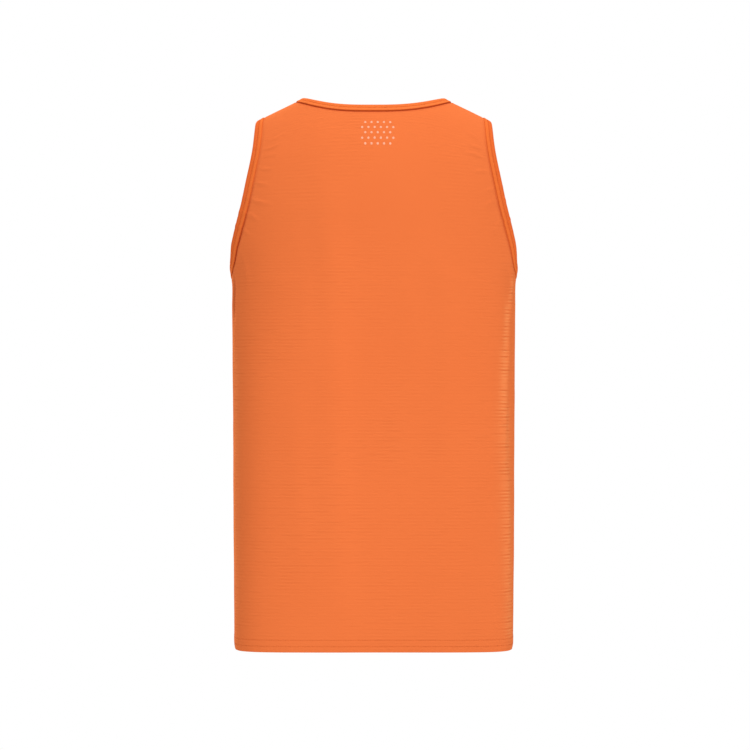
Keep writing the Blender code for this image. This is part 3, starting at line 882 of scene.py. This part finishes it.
# ---------------------------------------------------------------------------------------------
# Neck and armhole bindings.
# Strips of the same knit, folded over the raw edge and closed by one line of stitches along the
# middle. They are pulled a little as they are sewn, so they lie firm and slightly crowned.

Binding = namedtuple("Binding", "name node width loop knit")
BINDING_THICKNESS = 0.0020
BINDING_START = 0.0002          # the strip's inner edge, from the seam line towards the free edge
PAD_FOOT = 0.66                 # height between its two pads, as a share of its thickness
PAD_RISE = 0.46                 # how much higher the pads are
PAD_POWER = 0.7
EDGE_ROUNDING = 0.09            # share of the width that rounds off at each edge
NECK_BINDING_WIDTH = 0.0105
ARMHOLE_BINDING_WIDTH = 0.0114
NECK_STATIONS = 95              # stations of the mesh along a quarter of the neck
ARMHOLE_STATIONS = 175          # and along one panel's side of an armhole
STATION_GAP = 0.0017            # distance from one to the next
BINDING_EASING = 180            # how often the way across the strip is evened out along the ring
TIP_LENGTH = 0.012              # stretch over the shoulder where an armhole binding is pulled in
TIP_NARROWING = 0.20
TIP_DROOP = 0.0022
PUFFS = ((0.00007, 0.0085, 0), (0.00006, 0.031, 1))     # height, spacing and start of its puffs
PAD_LAYERS = (0, 0.008, 0.03, 0.07, 0.13, 0.20, 0.28, 0.36, 0.42, 0.46, 0.485)  # mesh across a pad


def seam_loop(which):
    """A seam all the way round, back then front: points on the cloth, and normals."""
    parts = []
    for panel in (BACK, FRONT):
        if which == "neck":
            line = both_sides(evenly(panel, *neck_edge(panel), NECK_STATIONS))
        else:
            line = evenly(panel, *armhole_edge(panel), ARMHOLE_STATIONS)
            line = line * (1 if which == "left" else -1, 1)
        parts.append(cloth_point(panel, *(line if panel is BACK else line[::-1]).T))
    rings = []
    for first, second in zip(*parts):
        start = (first[0] + second[-1]) / 2
        middle = (first[-1] + second[0]) / 2
        rings.append(np.concatenate([start[None], first[1:-1], middle[None], second[1:-1]]))
    points, normals = rings
    return points, unit(normals)


def smooth_ring(vectors):
    """Even out a ring of vectors."""
    for _ in range(BINDING_EASING):
        vectors = vectors / 2 + (np.roll(vectors, 1, axis=0) + np.roll(vectors, -1, axis=0)) / 4
    return vectors


def binding_frame(loop):
    """At each station of a seam: the seam, the way to the free edge, and the normal."""
    points, normals = loop
    run = np.roll(points, -1, axis=0) - np.roll(points, 1, axis=0)
    inward = np.cross(normals, run)
    inward *= np.sign(np.sum(inward * (points.mean(axis=0) - points)))
    inward = unit(smooth_ring(unit(inward)))
    square = np.cross(unit(run), inward)
    return points, inward, unit(square * np.sign(np.sum(square * normals)))


def binding_face(share):
    """Height of the binding's face, as a share of half its thickness: two pads and a stitched groove."""
    pads = PAD_FOOT + PAD_RISE * np.abs(np.sin(2 * np.pi * share)) ** PAD_POWER
    ends = np.clip(np.minimum(share, 1 - share) / EDGE_ROUNDING, 0, 1)
    return pads * np.sqrt(1 - (1 - ends) ** 2)


def at_the_tip(points):
    """How close each station of an armhole seam is to the shoulder, where the ring starts."""
    lengths = lengths_along(points)
    return bell(np.minimum(lengths, lengths[-1] - lengths), 0, TIP_LENGTH)


def binding_spots(binding, shares):
    """Points of the binding's middle layer, a ring of stations for each share of its width."""
    points, inward, _ = binding_frame(binding.loop)
    tip = at_the_tip(points) if binding.node != "neck_binding" else np.zeros(len(points))
    width = binding.width * (1 - TIP_NARROWING * tip)
    reach = BINDING_START + shares[:, None] * (width - BINDING_START)
    spots = points + inward * reach[..., None]
    spots[..., 2] -= TIP_DROOP * tip * shares[:, None] ** 2
    return spots, reach


def make_binding(binding):
    """One folded strip, as a closed ring that is padded on both faces."""
    points, _, normals = binding_frame(binding.loop)
    pads = np.array(PAD_LAYERS)
    outer = np.concatenate([pads, [0.5], 1 - pads[::-1]])
    inner = outer[::-2][1:-1]
    shares = np.concatenate([outer, inner])
    heights = np.concatenate([binding_face(outer), -binding_face(inner)]) * BINDING_THICKNESS / 2
    spots, reach = binding_spots(binding, shares)
    # the strip puffs up a little, most along its middle
    along = 2 * np.pi * np.arange(len(points)) * STATION_GAP
    puff = sum(height * np.sin(along / spacing + begin) for height, spacing, begin in PUFFS)
    middle = bell(shares, 0.5, 0.28) * np.sign(heights)
    rings = spots + normals * (heights[:, None] + puff * middle[:, None])[..., None]
    across = len(shares)
    count = len(points)
    faces = grid_faces(across, count, rows_close=True, columns_close=True)
    piece = new_piece(binding.name, rings.reshape(-1, 3), faces)
    lengths = lengths_along(points)
    lengths = np.append(lengths, lengths[-1] + np.linalg.norm(points[0] - points[-1]))
    uv = []
    for near, far in zip(reach, np.roll(reach, -1, axis=0)):
        for i in range(count):
            uv += [(near[i], lengths[i]), (near[i], lengths[i + 1]),
                   (far[i], lengths[i + 1]), (far[i], lengths[i])]
    layer = piece.data.uv_layers.new(name="cloth")
    layer.data.foreach_set("uv", np.array(uv, dtype=np.float32).ravel())
    attribute = piece.data.attributes.new("across_binding", "FLOAT", "POINT")
    attribute.data.foreach_set("value", np.repeat(shares, count).astype(np.float32))
    return piece


# Colours across a binding, which paint its light and shade: dark at the seam edge and along the stitched
# groove in the middle, palest over the inner pad, darker towards the free edge. Columns: the share of
# its width from the seam to the free edge, red, green, blue.
NECK_SHADE_STRIPES = (
    (0.00, 0.180, 0.012, 0.002),
    (0.07, 0.370, 0.062, 0.012),
    (0.16, 0.450, 0.108, 0.026),
    (0.40, 0.440, 0.102, 0.024),
    (0.50, 0.390, 0.066, 0.013),
    (0.60, 0.430, 0.096, 0.022),
    (0.92, 0.430, 0.098, 0.024),
    (1.00, 0.400, 0.084, 0.020),
)
ARMHOLE_SHADE_STRIPES = (
    (0.00, 0.290, 0.038, 0.007),
    (0.06, 0.370, 0.066, 0.013),
    (0.14, 0.430, 0.092, 0.020),
    (0.40, 0.420, 0.088, 0.019),
    (0.50, 0.340, 0.046, 0.009),
    (0.60, 0.395, 0.074, 0.016),
    (0.90, 0.380, 0.070, 0.015),
    (1.00, 0.330, 0.056, 0.012),
)
BINDING_SHADE = (0.37, 0.066, 0.013, 1)
BINDING_RIB_RELIEF = 0.00002


def shade_striped_knit(name, stripes):
    """The binding's knit, with painted light and shade by where it lies across the strip."""
    material = knit_material(name, KNIT_COLOUR, BINDING_SHADE, BINDING_RIB_RELIEF)
    across = add_node(material, "Attribute", {}, attribute_name="across_binding").outputs["Fac"]
    shades = add_node(material, "ValToRGB", {"Fac": across})
    ramp = shades.color_ramp
    for share, *_ in stripes[1:-1]:
        ramp.elements.new(share)
    for element, (share, *colour) in zip(ramp.elements, stripes):
        element.position = share
        element.color = (*colour, 1)
    # the painted light and shade stripes take the place of the plain colour
    set_sockets(material, material.node_tree.nodes["cloth_colour"], {"A": shades.outputs["Color"]})
    return material


neck_knit = shade_striped_knit("neck_binding_cloth", NECK_SHADE_STRIPES)
armhole_knit = shade_striped_knit("armhole_binding_cloth", ARMHOLE_SHADE_STRIPES)
BINDINGS = [Binding("neck_band", "neck_binding", NECK_BINDING_WIDTH, seam_loop("neck"), neck_knit)]
BINDINGS += [Binding("armhole_band_" + side, "armhole_binding_" + side, ARMHOLE_BINDING_WIDTH,
                     seam_loop(side), armhole_knit) for side in ("left", "right")]
for binding in BINDINGS:
    piece = make_binding(binding)
    hang(piece, binding.knit)
    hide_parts(binding.node)
    seam = binding.loop[0]


# ---------------------------------------------------------------------------------------------
# Stitching.
# Polyester thread of the cloth's own colour, in separate stitches that sink into the cloth at
# both ends: one line round each binding, and two lines round the hem that hold the turned-up cloth.

THREAD = 0.00024                # radius of the thread
STITCH_PITCH = 0.0030
STITCH_LENGTH = 0.0025
STITCH_RISE = 0.0001            # how far a stitch bows up off the cloth
STITCH_SINK = 0.6               # how deep its ends lie, as a share of the thread's radius
STITCH_TAPER = 0.45             # how much thinner it is at its ends
STITCH_FLATNESS = 1.25          # how much wider than tall it is
HEM_STATIONS = 170              # points that a line of stitches follows round half the hem
THREAD_COLOUR = (0.40, 0.076, 0.016, 1)


def make_stitches(name, points, normals):
    """A closed line of stitches on the cloth, each one a short bowed length of thread."""
    points = np.vstack([points, points[:1]])
    normals = np.vstack([normals, normals[:1]])
    reached = lengths_along(points)

    def spots_at(at, values):
        return np.stack([np.interp(at, reached, column) for column in values.T], axis=-1)

    number = int(reached[-1] / STITCH_PITCH)
    share = np.linspace(0, 1, 6)
    bow = np.sin(np.pi * share)
    turns = np.linspace(0, 2 * np.pi, 7)[:-1]
    corners, faces = [], []
    for stitch in range(number):
        at = stitch * reached[-1] / number + share * STITCH_LENGTH
        middle = spots_at(at, points)
        run = unit(middle[-1] - middle[0])
        up = spots_at(at, normals)
        up = unit(up - run * (up @ run)[:, None])
        beside = np.cross(run, up)
        middle = middle + up * ((STITCH_RISE + THREAD) * bow - THREAD * STITCH_SINK)[:, None]
        radii = THREAD * (1 - STITCH_TAPER + STITCH_TAPER * bow)
        first = len(corners)
        for spot, high, wide, radius in zip(middle, up, beside, radii):
            wide = wide * STITCH_FLATNESS
            for turn in turns:
                corners.append(spot + radius * (np.cos(turn) * high + np.sin(turn) * wide))
        faces += grid_faces(len(share), len(turns), columns_close=True, first=first)
        faces.append(tuple(reversed(range(first, first + len(turns)))))
        faces.append(tuple(range(len(corners) - len(turns), len(corners))))
    return new_piece(name, corners, faces)


def thread_material(name, colour):
    """Twisted thread with a faint gloss."""
    material = new_material(name, {"Roughness": 0.55, "Specular IOR Level": 0.02})
    place = add_node(material, "TexCoord", {}).outputs["Object"]
    strands = add_node(material, "TexNoise", {"Vector": place, "Scale": 900, "Detail": 2}).outputs["Fac"]
    ramp = add_node(material, "ValToRGB", {"Fac": strands})
    ramp.color_ramp.elements[0].color = (*(part * 0.86 for part in colour[:3]), 1)
    ramp.color_ramp.elements[1].color = colour
    bump = add_node(material, "Bump", {"Height": strands, "Distance": 0.0001})
    surface(material, {"Base Color": ramp.outputs["Color"], "Normal": bump.outputs["Normal"]})
    return material


def hem_line(up):
    """The line round the hem at a height above its lower edge, on the outside of the cloth."""
    rings = []
    for panel in (BACK, FRONT):
        down = down_to(panel, LENGTH) - up
        fine = np.linspace(-1, 1, 300) * edge_angle(panel, down)
        line = evenly(panel, fine, np.full_like(fine, down), HEM_STATIONS)
        rings.append(cloth_point(panel, *(line if panel is BACK else line[::-1]).T))
    points, normals = (np.concatenate(pair) for pair in zip(*rings))
    return points + normals * (CLOTH / 2 + hem_offset(up)), normals


thread = thread_material("orange_thread", THREAD_COLOUR)
for binding in BINDINGS:
    _, _, normals = binding_frame(binding.loop)
    spots, _ = binding_spots(binding, np.array([0.5]))
    face = float(binding_face(np.array(0.5))) * BINDING_THICKNESS / 2
    piece = make_stitches(binding.name + "_stitches", spots[0] + normals * face, normals)
    hang(piece, thread)
for name, up in zip(("hem_stitches_lower", "hem_stitches_upper"), HEM_LINES):
    hang(make_stitches(name, *hem_line(up)), thread)


# ---------------------------------------------------------------------------------------------
# Seam allowances inside the shoulder and side seams.
# The two panels' raw edges, trimmed together and oversewn into one narrow ridge that lies flat
# against the back panel.

ALLOWANCE_WIDTH = 0.0055
ALLOWANCE_THICKNESS = 0.0014
UNDER_BINDING = 0.0012          # how far a side seam's ridge runs up inside the armhole binding


def make_allowance(name, edge_pairs):
    """A low padded ridge inside a seam of the back panel."""
    points, normals = cloth_point(BACK, *edge_pairs.T)
    beside = np.cross(unit(np.gradient(points, axis=0)), normals)
    corners = []
    for turn in np.linspace(0, 2 * np.pi, 13)[:-1]:
        wide = np.cos(turn) * ALLOWANCE_WIDTH / 2
        deep = -CLOTH / 2 - SEAM_DIP - ALLOWANCE_THICKNESS / 2 * (1 - np.sin(turn))
        corners.append(points + beside * wide + normals * deep)
    faces = grid_faces(len(corners), len(points), rows_close=True)
    starts = range(0, len(corners) * len(points), len(points))
    faces.append(tuple(starts))
    faces.append(tuple(start + len(points) - 1 for start in reversed(starts)))
    return new_piece(name, np.concatenate(corners), faces)


def oversewn_material():
    """Close loops of thread over a raw edge."""
    material = thread_material("oversewn_edge", (0.45, 0.085, 0.020, 1))
    place = add_node(material, "TexCoord", {}).outputs["Object"]
    values = {"Vector": place, "Scale": 160, "Distortion": 1.5}
    loops = add_node(material, "TexWave", values, bands_direction="Z").outputs["Fac"]
    set_sockets(material, material.node_tree.nodes["Bump"], {"Height": loops, "Distance": 0.0002})
    surface(material, {"Specular IOR Level": 0.0})
    return material


oversewn = oversewn_material()
underarm = down_to(BACK, UNDERARM_DROP)
side_down = np.linspace(underarm - UNDER_BINDING, down_to(BACK, LENGTH) - HEM_TURN, 80)
side_pairs = np.stack([edge_angle(BACK, np.maximum(side_down, underarm)), side_down], axis=-1)
for seam, pairs in (("side_seam", side_pairs), ("shoulder_seam", shoulder_line(BACK, 24))):
    for side, mirror in (("_left", 1), ("_right", -1)):
        hang(make_allowance(seam + side, pairs * (mirror, 1)), oversewn)


# ---------------------------------------------------------------------------------------------
# Print on the upper back.
# A block of small dots in pale ink, pressed on the cloth under the neck binding.

PRINT_X = -0.005                # its middle, from the centre line
PRINT_DOWN = 0.112              # and down the cloth from the shoulder line
DOT_ROWS = 5
DOT_PITCH = 0.0078
DOT_RADIUS = 0.0015
DOT_CORNERS = 16
INK = 0.00012                   # thickness of the ink


def print_dots():
    """The dots, each a low round drop whose rim sinks into the cloth."""
    corners, faces = [], []
    turns = np.linspace(0, 2 * np.pi, DOT_CORNERS + 1)[:-1]
    for row in range(DOT_ROWS):
        for place in range(DOT_ROWS + row % 2):
            x = PRINT_X + (place - (DOT_ROWS - 1 + row % 2) / 2) * DOT_PITCH
            down = PRINT_DOWN + (row - DOT_ROWS // 2) * DOT_PITCH * EVEN_TRIANGLE
            first = len(corners)
            for radius, rise in ((0, 1), (0.82, 1), (1, 0.4), (1, -0.6)):
                spots = turns if radius else turns[:1]
                xs = x + radius * DOT_RADIUS * np.cos(spots)
                downs = down + radius * DOT_RADIUS * np.sin(spots)
                points, normals = cloth_point(BACK, angle_at(xs, level(BACK, downs)[0]), downs)
                corners += list(points + normals * (CLOTH / 2 + INK * rise))
            for i in range(DOT_CORNERS):
                j = (i + 1) % DOT_CORNERS
                faces.append((first, first + 1 + i, first + 1 + j))
                for inner in (first + 1, first + 1 + DOT_CORNERS):
                    outer = inner + DOT_CORNERS
                    faces.append((inner + i, outer + i, outer + j, inner + j))
    return new_piece("dot_print", corners, faces)


hang(print_dots(), thread_material("pale_ink", (0.50, 0.22, 0.14, 1)))


# ---------------------------------------------------------------------------------------------
# Studio.
# A pale floor well below the vest and a white surround. A large soft light stands behind on the
# wearer's right and another in front, with smaller ones above, at both sides and close behind.

FLOOR_Z = -1.45
FLOOR_HALF = 3
floor_corners = [(x, y, FLOOR_Z) for x in (-FLOOR_HALF, FLOOR_HALF) for y in (-FLOOR_HALF, FLOOR_HALF)]
floor = new_piece("floor", floor_corners, [(0, 2, 3, 1)])
floor_paint = new_material("floor_paint", {"Base Color": (0.88, 0.88, 0.87, 1), "Roughness": 0.9})
floor.data.materials.append(floor_paint)

world = bpy.data.worlds.new("white_surround")
bpy.context.scene.world = world
world.use_nodes = True
background = world.node_tree.nodes["Background"]
background.inputs["Color"].default_value = (1, 1, 1, 1)
background.inputs["Strength"].default_value = 1.0


def soft_light(name, spot, target, wide, tall, power):
    """A soft rectangular light at a spot, turned to a target."""
    lamp = bpy.data.lights.new(name, "AREA")
    lamp.shape = "RECTANGLE"
    lamp.size = wide
    lamp.size_y = tall
    lamp.energy = power
    light = bpy.data.objects.new(name, lamp)
    light.location = spot
    light.rotation_euler = (Vector(target) - Vector(spot)).to_track_quat("-Z", "Y").to_euler()
    bpy.context.scene.collection.objects.link(light)


soft_light("key", (-2.9, 1.9, 0.6), (0, 0, -0.38), 1.4, 1.4, 66)
soft_light("front_fill", (1.6, -3.0, 0.9), (0, 0, -0.35), 1.6, 1.6, 125)
soft_light("overhead", (0.2, 0.05, 1.5), (0.05, 0.02, -0.05), 0.7, 0.7, 31)
soft_light("side", (2.5, 0.0, -0.3), (0.1, 0, -0.4), 0.8, 1.6, 10)
soft_light("other_side", (-2.5, 0.0, -0.4), (-0.1, 0, -0.4), 0.8, 1.6, 5)
soft_light("strip", (0.012, 0.60, -0.40), (0.0, 0, -0.40), 0.12, 1.3, 3.5)

camera = bpy.data.objects.new("camera", bpy.data.cameras.new("camera"))
camera.data.sensor_width = 36
camera.data.lens = 123.5
camera.location = (-0.0016, 3.3, NECK_POINT_Z - 0.3546)
camera.rotation_euler = (np.pi / 2, 0, np.pi)
bpy.context.scene.collection.objects.link(camera)
bpy.context.scene.camera = camera
bpy.context.scene.view_settings.view_transform = "Standard"
